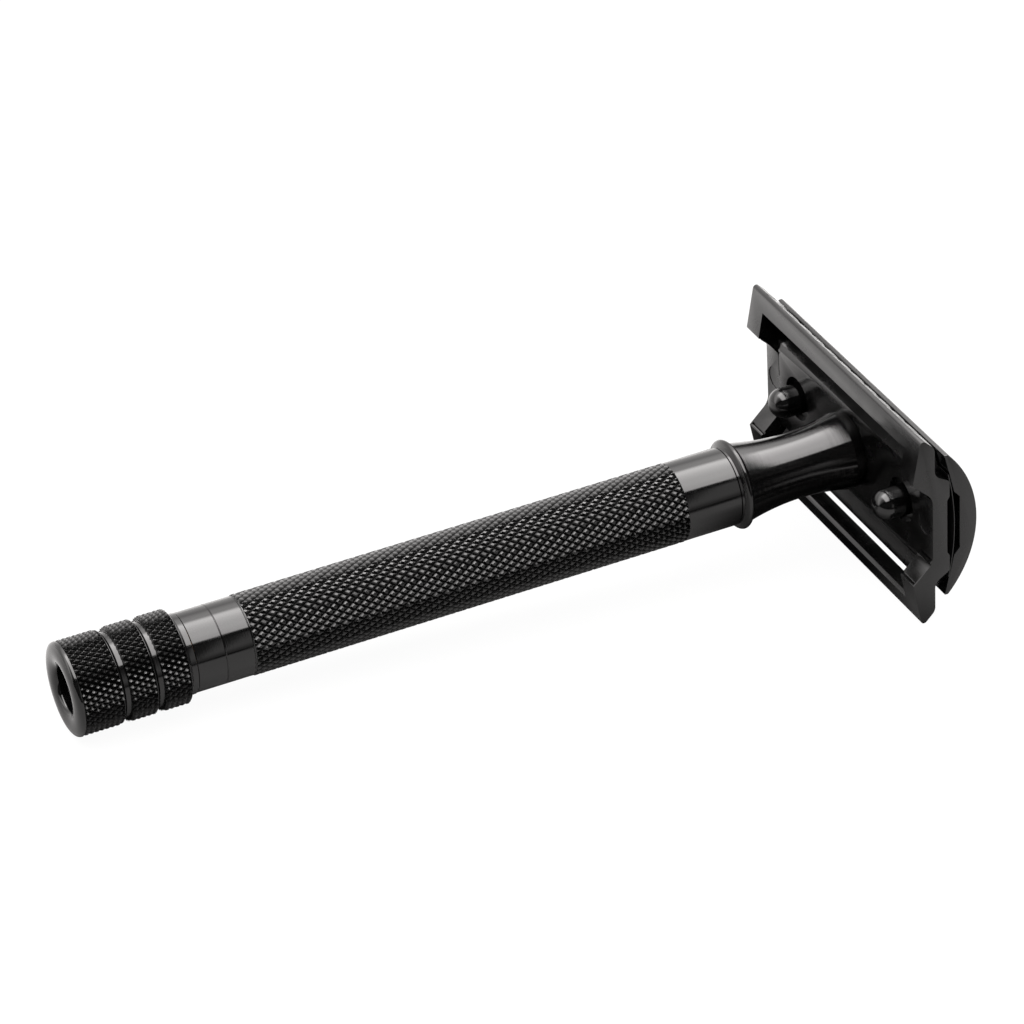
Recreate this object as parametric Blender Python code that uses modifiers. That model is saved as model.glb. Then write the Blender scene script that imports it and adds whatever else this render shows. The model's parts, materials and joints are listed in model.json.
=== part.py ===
"""A double-edge safety razor with a twist knob, lying on its guard bar and its knob.

The razor is modelled upright: +Z runs up the handle to the cap, Y along the blade and X across it,
with Z = 0 at the joint between the knob and the handle. lay_down() then turns the empty that
everything hangs from, so that the razor rests on the surface Z = 0.

The cap carries a threaded stud and two guide pins. Turning the knob turns the draw rod and its nut
inside the handle, which pulls the stud, the cap and the blade down onto the base plate.
"""

from math import atan2, cos, hypot, pi, radians, sin, sqrt, tan

import bmesh
import bpy
from mathutils import Matrix, Vector

MM = 0.001
TURN_STEPS = 48
FILLET_STEPS = 4
FIT = 0.05  # clearance between pieces that are pressed or clamped together, mm
RUNNING = 0.06  # radial clearance of a turning or sliding fit, mm

# Handle, mm
HANDLE_RADIUS = 5.0
BAND_RADIUS = 4.92  # the plain band above the knob
COLLAR_RADIUS = 4.97  # the plain band below the neck
HANDLE_BORE = 3.9
HANDLE_END = 72.0
KNURL_START = 7.4
KNURL_END = 64.8
PARTING_GAP = 0.1

# Neck, mm
BEAD_RADIUS = 5.72
BEAD_GROOVE_RADIUS = 4.93
BEAD_LEVELS = (0.27, 0.72, 1.12, 1.57)  # above the neck's foot: groove end, crest start and end, bead end
NECK_FOOT_RADIUS = 5.1
WAIST_RADIUS = 4.15
WAIST_Z = 81.5
NECK_HEAD_RADIUS = 4.95
NECK_HEAD_Z = 88.0
NECK_TOP_RADIUS = 4.75
NECK_SPIGOT_RADIUS = 3.85 - FIT
NECK_SPIGOT_LENGTH = 5.5
NECK_BORE = 3.3
NECK_BORE_END = 87.4
STUD_CLEARANCE_BORE = 2.6
PLATE_SPIGOT_RADIUS = 3.5
NECK_RECESS_RADIUS = 5.05
NECK_RECESS_DEPTH = 0.1

# Head, mm: heights are above the flat underside of the base plate
PLATE_SEAT = 89.35
PLATE_THICKNESS = 1.95
PLATE_HALF_LENGTH = 21.4
RIDGE_HEIGHT = 2.28
LEDGE_HEIGHT = 0.25
GUARD_TOP = (11.8, 0.25)
GUARD_TIP = (13.6, -1.6)
GUARD_HEEL = (7.3, -2.8)
WEB_STEP = 0.03  # how much lower the end webs lie than the underside between them
SLOT_INNER = 6.15
SLOT_OUTER = 10.5
SLOT_CHAMFER = ((10.5, -1.75), (11.1, -2.45))
SLOT_HALF_LENGTH = 18.2
SCALLOPS = 11
SCALLOP_PITCH = 3.36
SCALLOP_DEPTH = 0.6
PIN_SPACING = 26.9
PIN_RADIUS = 2.0
PIN_BALL_DROP = 1.9
PIN_POCKET_RADIUS = 2.9
PIN_POCKET_DEPTH = 1.0
CAP_HALF_LENGTH = 21.2
CAP_HALF_WIDTH = 10.12
CAP_CREST = 6.17
CAP_CROWN_RADIUS = 14.86
CAP_RECESS = 3.8
CAP_RIM = 1.55
SPIGOT_RADIUS = 1.5  # of the stud, pressed into the cap
SPIGOT_LENGTH = 1.5
PIN_SPIGOT_RADIUS = 1.2
PIN_SPIGOT_LENGTH = 1.2
BLADE_THICKNESS = 0.1
BLADE_HALF_WIDTH = 11.0
BLADE_HALF_LENGTH = 21.4
BLADE_BEND_RADIUS = 33.5
BLADE_CROWN = 2.95
BLADE_TAB_HALF_WIDTH = 7.4
BLADE_EDGE_HALF_LENGTH = 18.7
BLADE_GROUND_WIDTH = 0.35
BLADE_CENTRE_HOLE = 2.9
BLADE_SLOT_HALF_WIDTH = 0.9

# Draw mechanism, mm
ROD_RADIUS = 2.5
ROD_BOTTOM = -7.5
ROD_TOP = 77.5
NUT_RADIUS = 3.2
NUT_BOTTOM = 74.5
NUT_TOP = 85.5
STUD_RADIUS = 2.3
STUD_BOTTOM = 80.5
CLIP_Z = 6.8
CLIP_THICKNESS = 0.6
CLIP_GROOVE_RADIUS = 2.05
CLIP_RADIUS = 3.4
BUSH_BOTTOM = 0.6
BUSH_TOP = 6.0
WAVE_WASHER_RADII = (3.5, 2.7)

# Knob, mm
KNOB_RADIUS = 5.85
KNOB_END = -15.5
KNOB_RIM_Z = -14.73
KNOB_BORE = 2.94
KNOB_COLLAR_RADIUS = 5.0
KNOB_GROOVE_RADIUS = 5.3
KNOB_GROOVES = ((-9.3, -8.65), (-5.1, -4.45))
KNOB_SHOULDER_Z = -1.2
KNOB_COLLAR_Z = -0.75
SCREW_SEAT = -8.6
SCREW_RADIUS = 1.46
SCREW_HEAD_RADIUS = 2.72
SCREW_HEAD_HEIGHT = 3.0
SCREW_KEY = 2.5  # across the flats of its hexagonal socket
WASHER_SEAT = -0.95
WASHER_RADIUS = 4.6

# name: (base colour, metallic, roughness)
FINISHES = {
    "black": ((0.012, 0.012, 0.013), 0.9, 0.16),
    "knurl": ((0.015, 0.015, 0.016), 0.9, 0.26),
    "blade": ((0.05, 0.05, 0.055), 1.0, 0.3),
    "brass": ((0.62, 0.44, 0.18), 1.0, 0.3),
    "steel": ((0.5, 0.5, 0.52), 1.0, 0.28),
    "bronze": ((0.42, 0.24, 0.12), 1.0, 0.4),
    "spring": ((0.3, 0.3, 0.32), 1.0, 0.35),
}


def clear_scene():
    for obj in list(bpy.data.objects):
        bpy.data.objects.remove(obj, do_unlink=True)


def new_collection(name):
    collection = bpy.data.collections.new(name)
    bpy.context.scene.collection.children.link(collection)
    return collection


def finish_material(name, finish):
    colour, metallic, roughness = FINISHES[finish]
    material = bpy.data.materials.new(name)
    material.use_nodes = True
    shader = material.node_tree.nodes["Principled BSDF"]
    shader.inputs["Base Color"].default_value = (*colour, 1.0)
    shader.inputs["Metallic"].default_value = metallic
    shader.inputs["Roughness"].default_value = roughness
    material.diffuse_color = (*colour, 1.0)
    return material


def add_object(name, data, finish=None):
    """An object under the razor's empty: a part with a finish, or without one a cutter."""
    obj = bpy.data.objects.new(name, data)
    obj.parent = razor
    if finish:
        obj.data.materials.append(finish_material(name, finish))
        parts.objects.link(obj)
    else:
        obj.hide_render = True
        obj.display_type = "WIRE"
        cutters.objects.link(obj)
    return obj


def rounded(corners, steps=FILLET_STEPS, closed=False):
    """The outline through corners (u, v, radius), each corner with a radius turned into an arc."""
    points = []
    count = len(corners)
    for i, (u, v, radius) in enumerate(corners):
        corner = Vector((u, v))
        if not radius or (not closed and i in (0, count - 1)):
            points.append((u, v))
            continue
        back = (Vector(corners[i - 1][:2]) - corner).normalized()
        ahead = (Vector(corners[(i + 1) % count][:2]) - corner).normalized()
        half = back.angle(ahead) / 2
        centre = corner + (back + ahead).normalized() * radius / sin(half)
        start = corner + back * radius / tan(half) - centre
        turn = start.angle_signed(corner + ahead * radius / tan(half) - centre)
        for step in range(steps + 1):
            spoke = start.copy()
            spoke.rotate(Matrix.Rotation(-turn * step / steps, 2))
            points.append(tuple(centre + spoke))
    return points


def both_sides(half):
    """A half outline from its middle top to its middle bottom, completed by its mirror image."""
    return half + [(-u, v) for u, v in reversed(half) if u > 1e-6]


def turned(name, profile, finish=None, steps=TURN_STEPS):
    """A piece turned about Z. The profile (radius, z) runs down the outer side, then up the bore."""
    mesh = bpy.data.meshes.new(name)
    edges = [(i, i + 1) for i in range(len(profile) - 1)]
    if profile[0][0] > 0:
        edges.append((len(profile) - 1, 0))
    mesh.from_pydata([(r * MM, 0, z * MM) for r, z in profile], edges, [])
    obj = add_object(name, mesh, finish)
    screw = obj.modifiers.new("turn", "SCREW")
    screw.steps = steps
    screw.render_steps = steps
    screw.use_merge_vertices = True
    screw.merge_threshold = 1e-7
    return obj


def prism(name, outline, half_length, finish=None, rotation=(pi / 2, 0, 0), centre=(0, 0, 0)):
    """A flat outline extruded both ways, made from a filled 2D curve. By default it lies in X and Z."""
    curve = bpy.data.curves.new(name, "CURVE")
    curve.dimensions = "2D"
    curve.fill_mode = "BOTH"
    curve.extrude = half_length * MM
    spline = curve.splines.new("POLY")
    spline.points.add(len(outline) - 1)
    for point, (u, v) in zip(spline.points, outline):
        point.co = (u * MM, v * MM, 0, 1)
    spline.use_cyclic_u = True
    guide = bpy.data.objects.new(name + "_outline", curve)
    guide.rotation_euler = rotation
    guide.location = Vector(centre) * MM
    cutters.objects.link(guide)
    graph = bpy.context.evaluated_depsgraph_get()
    mesh = bpy.data.meshes.new_from_object(guide.evaluated_get(graph))
    shape = bmesh.new()
    shape.from_mesh(mesh)
    bmesh.ops.remove_doubles(shape, verts=shape.verts, dist=1e-7)
    bmesh.ops.recalc_face_normals(shape, faces=shape.faces)
    shape.to_mesh(mesh)
    shape.free()
    mesh.name = name
    obj = add_object(name, mesh, finish)
    obj.matrix_world = guide.matrix_world
    bpy.data.objects.remove(guide)
    bpy.data.curves.remove(curve)
    return obj


def rod_cutter(name, radius, bottom, top, x=0.0, y=0.0, sides=TURN_STEPS):
    """A cutter that drills along Z. Six sides make a hexagonal socket."""
    mesh = bpy.data.meshes.new(name)
    shape = bmesh.new()
    place = Matrix.Translation(Vector((x, y, (bottom + top) / 2)) * MM)
    size = {"radius1": radius * MM, "radius2": radius * MM, "depth": (top - bottom) * MM}
    bmesh.ops.create_cone(shape, cap_ends=True, segments=sides, matrix=place, **size)
    shape.to_mesh(mesh)
    shape.free()
    return add_object(name, mesh)


def box_cutter(name, low, high):
    mesh = bpy.data.meshes.new(name)
    shape = bmesh.new()
    bmesh.ops.create_cube(shape, size=1)
    low, high = Vector(low) * MM, Vector(high) * MM
    bmesh.ops.scale(shape, vec=high - low, verts=shape.verts)
    bmesh.ops.translate(shape, vec=(low + high) / 2, verts=shape.verts)
    shape.to_mesh(mesh)
    shape.free()
    return add_object(name, mesh)


def cut(obj, *tools, operation="DIFFERENCE"):
    for tool in tools:
        boolean = obj.modifiers.new(tool.name, "BOOLEAN")
        boolean.operation = operation
        boolean.solver = "EXACT"
        boolean.object = tool


def both_ways(cutter_maker, name, *numbers, **named):
    """The same cutter at the two pin positions along Y."""
    reach = PIN_SPACING / 2
    sides = (("near", -reach), ("far", reach))
    return [cutter_maker(f"{name}_{side}", *numbers, y=y, **named) for side, y in sides]


def plate_outline():
    half = [
        (0, PLATE_THICKNESS, 0),
        (3.75, PLATE_THICKNESS, 0.15),
        (4.25, RIDGE_HEIGHT, 0.3),
        (6.5, RIDGE_HEIGHT, 0.5),
        (7.7, LEDGE_HEIGHT, 1.4),
        (*GUARD_TOP, 1.4),
        (*GUARD_TIP, 0.45),
        (*GUARD_HEEL, 0.2),
        (4.66, -WEB_STEP, 2.3),
        (0, -WEB_STEP, 0),
    ]
    return both_sides([(u, PLATE_SEAT + v) for u, v in rounded(half)])


def scallop_outline():
    """What the ribs on the guard leave between them: a row of convex arcs below a straight top."""
    radius = (SCALLOP_PITCH**2 / 4 + SCALLOP_DEPTH**2) / (2 * SCALLOP_DEPTH)
    start = -SCALLOPS * SCALLOP_PITCH / 2
    steps = 6
    points = []
    for i in range(SCALLOPS * steps + 1):
        from_middle = SCALLOP_PITCH * (i % steps / steps - 0.5)
        points.append((start + i * SCALLOP_PITCH / steps, sqrt(radius**2 - from_middle**2) - radius))
    return points + [(-start, 1.5), (start, 1.5)]


def make_base_plate():
    """The ridged plate with its two guard bars, its slots, its holes and the ribs on its edges."""
    plate = prism("base_plate", plate_outline(), PLATE_HALF_LENGTH, "black")
    seat = PLATE_SEAT
    below, above = -5, 4
    inner = [(SLOT_INNER, 0), (SLOT_INNER, above)]
    half = [*inner, (SLOT_OUTER, above), *SLOT_CHAMFER, (SLOT_CHAMFER[1][0], below)]
    slots = [(u, seat + v) for u, v in half]
    slots += [(-u, z) for u, z in reversed(slots)]
    cut(plate, prism("slots_cutter", slots, SLOT_HALF_LENGTH))
    (top_x, top_z), (tip_x, tip_z) = GUARD_TOP, GUARD_TIP
    slope = atan2(top_z - tip_z, tip_x - top_x)
    fade = atan2(SCALLOP_DEPTH, hypot(tip_x - top_x, top_z - tip_z))
    lift = SCALLOP_DEPTH / 2
    for name, side in (("left", -1), ("right", 1)):
        tilt = Matrix.Rotation(side * (slope - fade), 3, "Y")
        turn = tilt @ Matrix.Rotation(pi / 2, 3, "Z") @ Matrix.Rotation(pi / 2, 3, "X")
        middle_x = side * ((top_x + tip_x) / 2 + lift * sin(slope))
        middle = (middle_x, 0, seat + (top_z + tip_z) / 2 + lift * cos(slope))
        ribs = prism(f"ribs_{name}_cutter", scallop_outline(), 3, None, turn.to_euler(), middle)
        cut(plate, ribs)
    cut(plate, rod_cutter("neck_hole_cutter", PLATE_SPIGOT_RADIUS + FIT, seat - 1, seat + 4))
    cut(plate, rod_cutter("neck_recess_cutter", NECK_RECESS_RADIUS, seat - 1, seat + NECK_RECESS_DEPTH))
    cut(plate, *both_ways(rod_cutter, "pin_hole_cutter", PIN_RADIUS + RUNNING, seat - 1, seat + 4))
    pocket_top = seat + PIN_POCKET_DEPTH
    cut(plate, *both_ways(rod_cutter, "pin_pocket_cutter", PIN_POCKET_RADIUS, seat - 1, pocket_top))
    return plate


def cap_outline():
    """The crowned top as an arc, down to the rim, then back along the hollow underside."""
    centre = CAP_CREST - CAP_CROWN_RADIUS
    crown = []
    steps = 10
    for i in range(steps):
        across = CAP_HALF_WIDTH * i / steps
        crown.append((across, centre + sqrt(CAP_CROWN_RADIUS**2 - across**2)))
    corner = centre + sqrt(CAP_CROWN_RADIUS**2 - CAP_HALF_WIDTH**2)
    rest = [
        (*crown[-1], 0),
        (CAP_HALF_WIDTH, corner, 0.15),
        (CAP_HALF_WIDTH, CAP_RIM, 0.15),
        (9.75, CAP_RIM + 0.17, 0.3),
        (4.55, 3.02, 0.3),
        (3.65, CAP_RECESS, 0.1),
        (0, CAP_RECESS, 0),
    ]
    half = crown[:-1] + rounded(rest)
    return both_sides([(u, PLATE_SEAT + v) for u, v in half])


def make_cap():
    cap = prism("cap", cap_outline(), CAP_HALF_LENGTH, "black")
    face = PLATE_SEAT + CAP_RECESS
    cut(cap, rod_cutter("stud_seat_cutter", SPIGOT_RADIUS + FIT, face - 1, face + SPIGOT_LENGTH + FIT))
    pin_seat_top = face + PIN_SPIGOT_LENGTH + FIT
    cut(cap, *both_ways(rod_cutter, "pin_seat_cutter", PIN_SPIGOT_RADIUS + FIT, face - 1, pin_seat_top))
    return cap


def make_cap_stud():
    face = PLATE_SEAT + CAP_RECESS - FIT
    chamfer = 0.5
    profile = [
        (0, face + SPIGOT_LENGTH),
        (SPIGOT_RADIUS, face + SPIGOT_LENGTH),
        (SPIGOT_RADIUS, face),
        (STUD_RADIUS, face),
        (STUD_RADIUS, STUD_BOTTOM + chamfer),
        (STUD_RADIUS - chamfer, STUD_BOTTOM),
        (0, STUD_BOTTOM),
    ]
    return turned("cap_stud", profile, "steel")


def make_guide_pin(name, y):
    """A pin with a ball end. It is turned about its own axis, at the pin's place along Y."""
    face = PLATE_SEAT + CAP_RECESS - FIT
    ball = PLATE_SEAT - PIN_BALL_DROP
    steps = 8
    angles = [pi / 2 * i / steps for i in range(steps)]
    dome = [(PIN_RADIUS * cos(angle), ball - PIN_RADIUS * sin(angle)) for angle in angles]
    spigot, spigot_top = PIN_SPIGOT_RADIUS, face + PIN_SPIGOT_LENGTH
    shank = [(0, spigot_top), (spigot, spigot_top), (spigot, face), (PIN_RADIUS, face)]
    pin = turned(name, shank + dome + [(0, ball - PIN_RADIUS)], "black", steps=32)
    pin.location.y = y * MM
    return pin


def blade_outline():
    """A thin sheet bent over the ridges: an arc on top, the ground edges, and an arc below."""
    bend, steps = BLADE_BEND_RADIUS, 8
    crown = PLATE_SEAT + BLADE_CROWN
    half_angle = (BLADE_HALF_WIDTH - BLADE_GROUND_WIDTH) / bend

    def along(angle, offset):
        return ((bend + offset) * sin(angle), crown - bend + (bend + offset) * cos(angle))

    angles = [half_angle * i / steps for i in range(steps + 1)]
    top = [along(angle, BLADE_THICKNESS / 2) for angle in angles]
    edge = [along(BLADE_HALF_WIDTH / bend, offset) for offset in (0.01, -0.01)]
    below = [along(angle, -BLADE_THICKNESS / 2) for angle in reversed(angles)]
    return both_sides(top + edge + below)


def make_blade():
    blade = prism("blade", blade_outline(), BLADE_HALF_LENGTH, "blade")
    low_z, high_z = PLATE_SEAT, PLATE_SEAT + 5
    for name, x in (("left", -1), ("right", 1)):
        for end, y in (("near", -1), ("far", 1)):
            xs = sorted((x * BLADE_TAB_HALF_WIDTH, x * (BLADE_HALF_WIDTH + 2)))
            ys = sorted((y * BLADE_EDGE_HALF_LENGTH, y * (BLADE_HALF_LENGTH + 2)))
            notch = box_cutter(f"notch_{name}_{end}_cutter", (xs[0], ys[0], low_z), (xs[1], ys[1], high_z))
            cut(blade, notch)
    reach = PIN_SPACING / 2
    slot = BLADE_SLOT_HALF_WIDTH
    cut(blade, box_cutter("blade_slot_cutter", (-slot, -reach, low_z), (slot, reach, high_z)))
    cut(blade, rod_cutter("blade_centre_cutter", BLADE_CENTRE_HOLE, low_z, high_z))
    cut(blade, *both_ways(rod_cutter, "blade_hole_cutter", PIN_RADIUS + 0.25, low_z, high_z))
    return blade


def arc_to(start, waist, steps=8):
    """Points on the circular arc that leaves start and arrives upright at waist; both are (radius, z)."""
    rise, reach = start[1] - waist[1], start[0] - waist[0]
    radius = (rise * rise + reach * reach) / (2 * reach)
    points = []
    for i in range(steps):
        height = rise * (1 - i / steps)
        points.append((waist[0] + radius - sqrt(radius**2 - height**2), waist[1] + height))
    return points


def make_neck():
    """The trumpet between the handle and the head, with its bead and its two spigots."""
    foot = HANDLE_END + FIT
    top = PLATE_SEAT + NECK_RECESS_DEPTH - FIT
    waist = (WAIST_RADIUS, WAIST_Z)
    upper = arc_to((NECK_HEAD_RADIUS, NECK_HEAD_Z), waist)
    groove_end, crest_start, crest_end, bead_end = [foot + level for level in BEAD_LEVELS]
    lower = list(reversed(arc_to((NECK_FOOT_RADIUS, bead_end), waist)))
    bead_corners = [
        (NECK_FOOT_RADIUS, bead_end, 0),
        (BEAD_RADIUS, crest_end, 0.25),
        (BEAD_RADIUS, crest_start, 0.25),
        (BEAD_GROOVE_RADIUS, groove_end, 0),
    ]
    bead = rounded(bead_corners)[1:]
    profile = [(PLATE_SPIGOT_RADIUS, PLATE_SEAT + PLATE_THICKNESS - 0.1), (PLATE_SPIGOT_RADIUS, top)]
    profile += [(NECK_TOP_RADIUS, top)] + upper + [waist] + lower + bead
    profile += [
        (BEAD_GROOVE_RADIUS, foot),
        (NECK_SPIGOT_RADIUS, foot),
        (NECK_SPIGOT_RADIUS, foot - NECK_SPIGOT_LENGTH),
        (NECK_BORE, foot - NECK_SPIGOT_LENGTH),
        (NECK_BORE, NECK_BORE_END),
        (STUD_CLEARANCE_BORE, NECK_BORE_END),
        (STUD_CLEARANCE_BORE, PLATE_SEAT + PLATE_THICKNESS - 0.1),
    ]
    return turned("neck", profile, "black")


def make_handle_tube():
    profile = [
        (COLLAR_RADIUS - 0.15, HANDLE_END),
        (COLLAR_RADIUS, HANDLE_END - 0.15),
        (COLLAR_RADIUS, KNURL_END + 0.1),
        (HANDLE_RADIUS, KNURL_END),
        (HANDLE_RADIUS, KNURL_START),
        (BAND_RADIUS, KNURL_START - 0.1),
        (BAND_RADIUS, PARTING_GAP + 0.1),
        (BAND_RADIUS - 0.1, PARTING_GAP),
        (HANDLE_BORE, PARTING_GAP),
        (HANDLE_BORE, HANDLE_END),
    ]
    return turned("handle_tube", profile, "knurl")


def ring(name, outer, inner, bottom, top, finish):
    return turned(name, [(outer, top), (outer, bottom), (inner, bottom), (inner, top)], finish)


def make_wave_washer(bottom):
    """A flat ring bent into three waves, by lifting its points with the sine of their angle."""
    thickness, amplitude = 0.25, 0.15
    middle = bottom + amplitude + thickness / 2
    low, high = middle - thickness / 2, middle + thickness / 2
    washer = ring("wave_washer", *WAVE_WASHER_RADII, low, high, "spring")
    bake(washer)
    for vertex in washer.data.vertices:
        vertex.co.z += amplitude * MM * sin(3 * atan2(vertex.co.y, vertex.co.x))
    return washer


def make_retaining_clip():
    """An open ring that snaps into the groove of the draw rod."""
    inner = CLIP_GROOVE_RADIUS + RUNNING
    clip = ring("retaining_clip", CLIP_RADIUS, inner, CLIP_Z + FIT, CLIP_Z + CLIP_THICKNESS - FIT, "spring")
    cut(clip, box_cutter("clip_gap_cutter", (0, -1.3, CLIP_Z - 1), (5, 1.3, CLIP_Z + 2)))
    return clip


def make_draw_rod():
    """A rod with a tapped hexagonal foot for the knob and a groove for the clip."""
    groove_top = CLIP_Z + CLIP_THICKNESS
    profile = [
        (0, ROD_TOP),
        (ROD_RADIUS, ROD_TOP),
        (ROD_RADIUS, groove_top),
        (CLIP_GROOVE_RADIUS, groove_top),
        (CLIP_GROOVE_RADIUS, CLIP_Z),
        (ROD_RADIUS, CLIP_Z),
        (ROD_RADIUS, ROD_BOTTOM),
        (0, ROD_BOTTOM),
    ]
    rod = turned("draw_rod", profile, "brass", steps=36)
    foot = rod_cutter("hex_sleeve_cutter", ROD_RADIUS + 1, ROD_BOTTOM - 1, WASHER_SEAT + 0.2)
    cut(foot, rod_cutter("hex_foot_cutter", ROD_RADIUS, ROD_BOTTOM - 2, 0, sides=6))
    cut(rod, foot)
    cut(rod, rod_cutter("rod_tapping_cutter", SCREW_RADIUS + FIT, ROD_BOTTOM - 1, -1.2, sides=24))
    return rod


def make_draw_nut():
    """The threaded coupling at the top of the rod, which takes the cap's stud."""
    socket = ROD_RADIUS + FIT
    thread = STUD_RADIUS + RUNNING + 0.02
    profile = [
        (NUT_RADIUS, NUT_TOP),
        (NUT_RADIUS, NUT_BOTTOM),
        (socket, NUT_BOTTOM),
        (socket, ROD_TOP + FIT),
        (thread, ROD_TOP + FIT),
        (thread, NUT_TOP),
    ]
    return turned("draw_nut", profile, "brass")


def make_knob():
    """Three grip bands between plain grooves, a rounded end and a stepped bore."""
    chamfer = 0.25
    washer_wall = WASHER_RADIUS + FIT
    profile = [(KNOB_COLLAR_RADIUS, -PARTING_GAP + 0.02), (KNOB_COLLAR_RADIUS, KNOB_COLLAR_Z)]
    profile += [(KNOB_RADIUS - 0.1, KNOB_SHOULDER_Z + 0.1), (KNOB_RADIUS, KNOB_SHOULDER_Z - 0.15)]
    for bottom, top in reversed(KNOB_GROOVES):
        profile += [(KNOB_RADIUS, top + chamfer), (KNOB_GROOVE_RADIUS, top)]
        profile += [(KNOB_GROOVE_RADIUS, bottom), (KNOB_RADIUS, bottom - chamfer)]
    crest_radius = (KNOB_RADIUS + KNOB_BORE) / 2
    half_width = (KNOB_RADIUS - KNOB_BORE) / 2
    steps = 10
    for i in range(steps + 1):
        angle = pi * i / steps
        height = KNOB_RIM_Z + (KNOB_END - KNOB_RIM_Z) * sin(angle)
        profile.append((crest_radius + half_width * cos(angle), height))
    profile += [
        (KNOB_BORE, SCREW_SEAT),
        (SCREW_RADIUS + 0.15, SCREW_SEAT),
        (SCREW_RADIUS + 0.15, WASHER_SEAT),
        (washer_wall, WASHER_SEAT),
        (washer_wall, -PARTING_GAP + 0.02),
    ]
    knob = turned("knob", profile, "knurl")
    hex_radius = ROD_RADIUS + 0.1
    cut(knob, rod_cutter("hex_socket_cutter", hex_radius, ROD_BOTTOM - FIT, 1, sides=6))
    return knob


def make_knob_screw():
    """A socket-head screw up the knob's bore, which clamps the knob to the rod."""
    under_head = SCREW_SEAT - FIT
    head = under_head - SCREW_HEAD_HEIGHT
    profile = [
        (0, -1.5),
        (SCREW_RADIUS, -1.5),
        (SCREW_RADIUS, under_head),
        (SCREW_HEAD_RADIUS, under_head),
        (SCREW_HEAD_RADIUS, head + 0.2),
        (SCREW_HEAD_RADIUS - 0.2, head),
        (0, head),
    ]
    screw = turned("knob_screw", profile, "steel", steps=24)
    cut(screw, rod_cutter("screw_socket_cutter", SCREW_KEY / sqrt(3), head - 1, head + 1.5, sides=6))
    return screw


def bake(obj):
    """Turns the modifiers into the mesh, with smooth round sides and sharp corners."""
    graph = bpy.context.evaluated_depsgraph_get()
    mesh = bpy.data.meshes.new_from_object(obj.evaluated_get(graph))
    obj.modifiers.clear()
    obj.data = mesh
    mesh.name = obj.name
    mesh.shade_smooth()
    mesh.set_sharp_from_angle(angle=radians(30))


def lay_down():
    """Tips the razor over until the knob's rim and the guard's edge share one level, on Z = 0."""
    lean = max(atan2(u - KNOB_RADIUS, z - KNOB_RIM_Z) for u, z in plate_outline())
    razor.rotation_euler.y = pi / 2 - lean
    bpy.context.view_layer.update()
    corners = [obj.matrix_world @ vertex.co for obj in parts.objects for vertex in obj.data.vertices]
    low = Vector(min(corner[axis] for corner in corners) for axis in range(3))
    high = Vector(max(corner[axis] for corner in corners) for axis in range(3))
    razor.location = (-(low.x + high.x) / 2, -(low.y + high.y) / 2, -low.z)


clear_scene()
parts = new_collection("Safety razor")
cutters = new_collection("Razor cutters")
razor = bpy.data.objects.new("razor_frame", None)
bpy.context.scene.collection.objects.link(razor)

make_handle_tube()
make_neck()
make_base_plate()
make_cap()
make_cap_stud()
make_guide_pin("guide_pin_near", -PIN_SPACING / 2)
make_guide_pin("guide_pin_far", PIN_SPACING / 2)
make_blade()
ring("lower_bush", HANDLE_BORE - FIT, ROD_RADIUS + RUNNING, BUSH_BOTTOM, BUSH_TOP, "bronze")
ring("thrust_washer", WASHER_RADIUS, ROD_RADIUS + 2 * RUNNING, WASHER_SEAT + FIT, PARTING_GAP - FIT, "bronze")
make_wave_washer(BUSH_TOP + FIT)
make_retaining_clip()
make_draw_rod()
make_draw_nut()
make_knob()
make_knob_screw()
bpy.context.view_layer.update()
for part in parts.objects:
    bake(part)
lay_down()
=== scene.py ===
"""A black double-edge safety razor lying on its guard bar and its knob, in soft studio light.

Pieces are made upright, in millimetres, in the frame that part.py draws them in: +Z runs up the
handle to the cap, Y along the blade, X across it, and Z = 0 is the joint between knob and handle.
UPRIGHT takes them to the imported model's frame, and it comes from the knob's own joint.
"""

import json
from math import atan2, cos, hypot, pi, radians, sin, sqrt, tan

import bmesh
import bpy
from mathutils import Euler, Matrix, Vector


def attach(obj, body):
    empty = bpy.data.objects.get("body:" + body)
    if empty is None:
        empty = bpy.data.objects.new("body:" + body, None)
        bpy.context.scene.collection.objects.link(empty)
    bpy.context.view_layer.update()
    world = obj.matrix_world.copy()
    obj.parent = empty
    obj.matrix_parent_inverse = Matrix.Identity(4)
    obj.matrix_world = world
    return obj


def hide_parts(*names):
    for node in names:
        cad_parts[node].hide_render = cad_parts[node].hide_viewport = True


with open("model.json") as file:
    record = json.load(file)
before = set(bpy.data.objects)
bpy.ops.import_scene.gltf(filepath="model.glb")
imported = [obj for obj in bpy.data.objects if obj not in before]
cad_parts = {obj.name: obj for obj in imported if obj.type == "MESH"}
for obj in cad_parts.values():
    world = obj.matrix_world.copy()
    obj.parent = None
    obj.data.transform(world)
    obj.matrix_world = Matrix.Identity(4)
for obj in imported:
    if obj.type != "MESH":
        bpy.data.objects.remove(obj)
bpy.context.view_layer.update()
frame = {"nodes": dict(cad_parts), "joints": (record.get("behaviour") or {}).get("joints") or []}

MM = 0.001
FIT = 0.05
DRILL_SIDES = 96

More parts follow.
